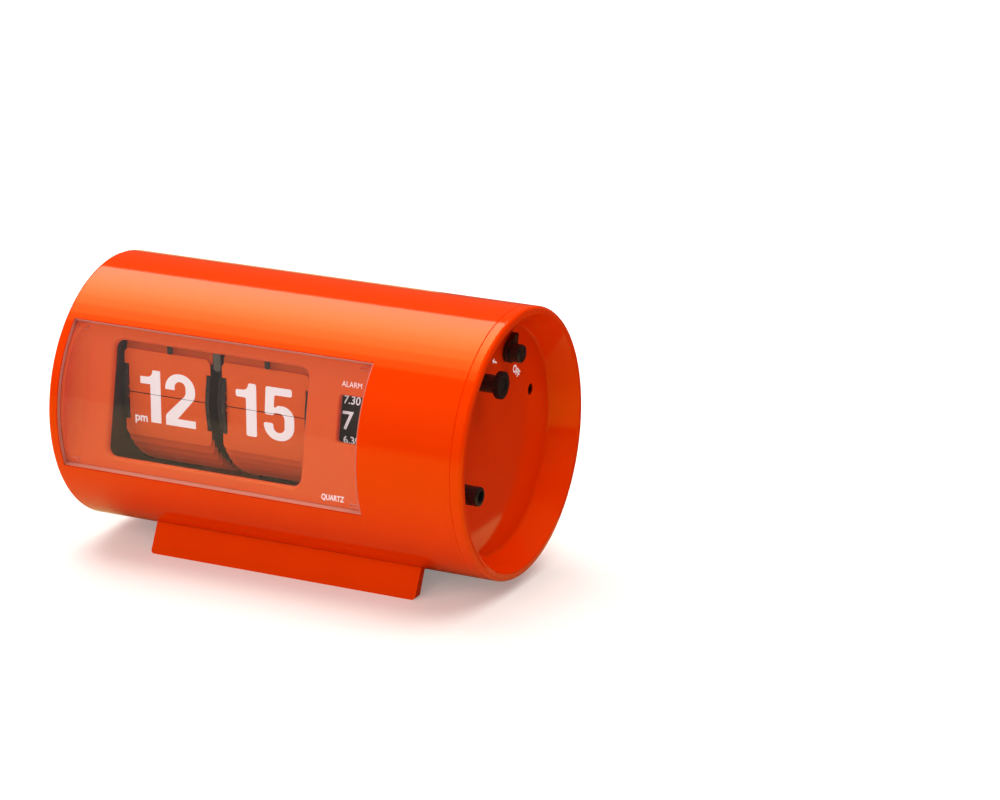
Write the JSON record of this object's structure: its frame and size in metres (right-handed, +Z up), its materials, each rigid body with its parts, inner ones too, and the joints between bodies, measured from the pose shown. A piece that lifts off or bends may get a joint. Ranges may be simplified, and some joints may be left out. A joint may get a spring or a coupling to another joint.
{
  "type": "flip number clock",
  "caption": "Tube-shaped flip number clock with hour and minute leaves behind a curved window, an alarm drum, end knobs and a low stand.",
  "frame": {"origin": "on the surface that the stand rests on, under the middle of the tube", "axes": "+X along the tube towards the knob end, -Y towards the viewer, +Z up"},
  "size_m": [0.1492, 0.088, 0.0924],
  "materials": {
    "shell_orange": "glossy moulded ABS, saturated orange",
    "dial_orange": "semi-gloss moulded orange plate",
    "leaf_orange": "thin matt orange card-like plastic",
    "lens_clear": "clear polished acrylic",
    "black_plastic": "moulded black plastic, satin",
    "knob_black": "moulded black plastic, semi-gloss",
    "grey_plastic": "grey moulded plastic",
    "gear_plastic": "natural white acetal",
    "steel": "plated steel",
    "black_steel": "blackened steel",
    "brass": "plain brass",
    "board_green": "green circuit laminate"
  },
  "bodies": {
    "case": {"tube_casing": "shell_orange", "window_lens": "lens_clear", "face_plate": "dial_orange", "right_end_cap": "shell_orange", "left_end_cap": "shell_orange", "stand": "shell_orange", "stand_screws": "steel", "left_frame_plate": "black_plastic", "centre_frame_plate": "black_plastic", "right_frame_plate": "black_plastic", "end_frame_plate": "black_plastic", "frame_pillars": "steel", "pillar_screws": "steel", "spindle_bushes": "brass", "end_cap_standoff": "steel", "end_cap_screw": "black_steel", "catch_bar": "black_plastic", "detent_spring": "steel", "carry_pin": "steel", "alarm_contact_spring": "brass", "sounder": "grey_plastic", "switch_contact": "brass", "movement_case": "black_plastic", "movement_cover": "grey_plastic", "circuit_board": "board_green", "stepper_motor": "steel", "battery": "steel", "battery_tray": "black_plastic", "battery_positive_contact": "steel"},
    "minute_drum": {"spindle": "steel", "minute_drum_core": "black_plastic", "minute_drum_flange": "black_plastic", "minute_lower_leaf": "leaf_orange", "minute_waiting_leaves": "leaf_orange", "minute_fallen_leaves": "leaf_orange", "minute_setting_wheel": "gear_plastic", "output_wheel": "gear_plastic"},
    "hour_drum": {"hour_drum_core": "black_plastic", "hour_drum_flange": "black_plastic", "hour_lower_leaf": "leaf_orange", "hour_waiting_leaves": "leaf_orange", "hour_fallen_leaves": "leaf_orange", "hour_carry_wheel": "black_plastic"},
    "minute_leaf": {"minute_upper_leaf": "leaf_orange"},
    "hour_leaf": {"hour_upper_leaf": "leaf_orange"},
    "carry_pinion": {"carry_pinion": "gear_plastic"},
    "motor_pinion": {"motor_pinion": "gear_plastic"},
    "time_knob": {"time_set_shaft": "steel", "time_set_pinion": "gear_plastic", "time_set_knob": "knob_black"},
    "alarm_drum": {"alarm_drum": "black_plastic", "alarm_wheel": "gear_plastic"},
    "alarm_knob": {"alarm_set_shaft": "steel", "alarm_set_pinion": "gear_plastic", "alarm_set_knob": "knob_black"},
    "alarm_switch": {"alarm_switch_shaft": "steel", "alarm_switch_knob": "knob_black", "alarm_switch_cam": "grey_plastic"},
    "battery_door": {"battery_door": "shell_orange", "battery_spring": "steel"}
  },
  "joints": [
    {"name": "minute_drum_spin", "type": "hinge", "parent": "case", "child": "minute_drum", "pos_m": [0, -0.001, 0.0553], "axis": [1, 0, 0], "continuous": true},
    {"name": "hour_drum_spin", "type": "hinge", "parent": "case", "child": "hour_drum", "pos_m": [0, -0.001, 0.0553], "axis": [1, 0, 0], "continuous": true},
    {"name": "carry_pinion_spin", "type": "hinge", "parent": "case", "child": "carry_pinion", "pos_m": [0, 0.0242, 0.0553], "axis": [1, 0, 0], "continuous": true},
    {"name": "motor_spin", "type": "hinge", "parent": "case", "child": "motor_pinion", "pos_m": [0, -0.001, 0.0403], "axis": [1, 0, 0], "continuous": true},
    {"name": "time_knob_turn", "type": "hinge", "parent": "case", "child": "time_knob", "pos_m": [0, -0.02688, 0.03897], "axis": [1, 0, 0], "continuous": true},
    {"name": "alarm_drum_spin", "type": "hinge", "parent": "case", "child": "alarm_drum", "pos_m": [0, -0.001, 0.0553], "axis": [1, 0, 0], "continuous": true},
    {"name": "alarm_knob_turn", "type": "hinge", "parent": "case", "child": "alarm_knob", "pos_m": [0, -0.01193, 0.07109], "axis": [1, 0, 0], "continuous": true},
    {"name": "minute_leaf_drop", "type": "hinge", "parent": "minute_drum", "child": "minute_leaf", "pos_m": [0, -0.02646, 0.05663], "axis": [1, 0, 0], "range_deg": [0, 168]},
    {"name": "hour_leaf_drop", "type": "hinge", "parent": "hour_drum", "child": "hour_leaf", "pos_m": [0, -0.02646, 0.05697], "axis": [1, 0, 0], "range_deg": [0, 168]},
    {"name": "alarm_switch_turn", "type": "hinge", "parent": "case", "child": "alarm_switch", "pos_m": [0, 0.007, 0.0758], "axis": [-1, 0, 0], "range_deg": [0, 90]},
    {"name": "battery_door_pull", "type": "slide", "parent": "case", "child": "battery_door", "axis": [-1, 0, 0], "range_m": [0, 0.012]}
  ],
  "couplings": [
    {"joint": "hour_drum_spin", "follows": "minute_drum_spin", "ratio": 0.041667},
    {"joint": "carry_pinion_spin", "follows": "minute_drum_spin", "ratio": -0.25},
    {"joint": "motor_spin", "follows": "minute_drum_spin", "ratio": -4},
    {"joint": "time_knob_turn", "follows": "minute_drum_spin", "ratio": -4.6667},
    {"joint": "alarm_knob_turn", "follows": "alarm_drum_spin", "ratio": -3}
  ]
}
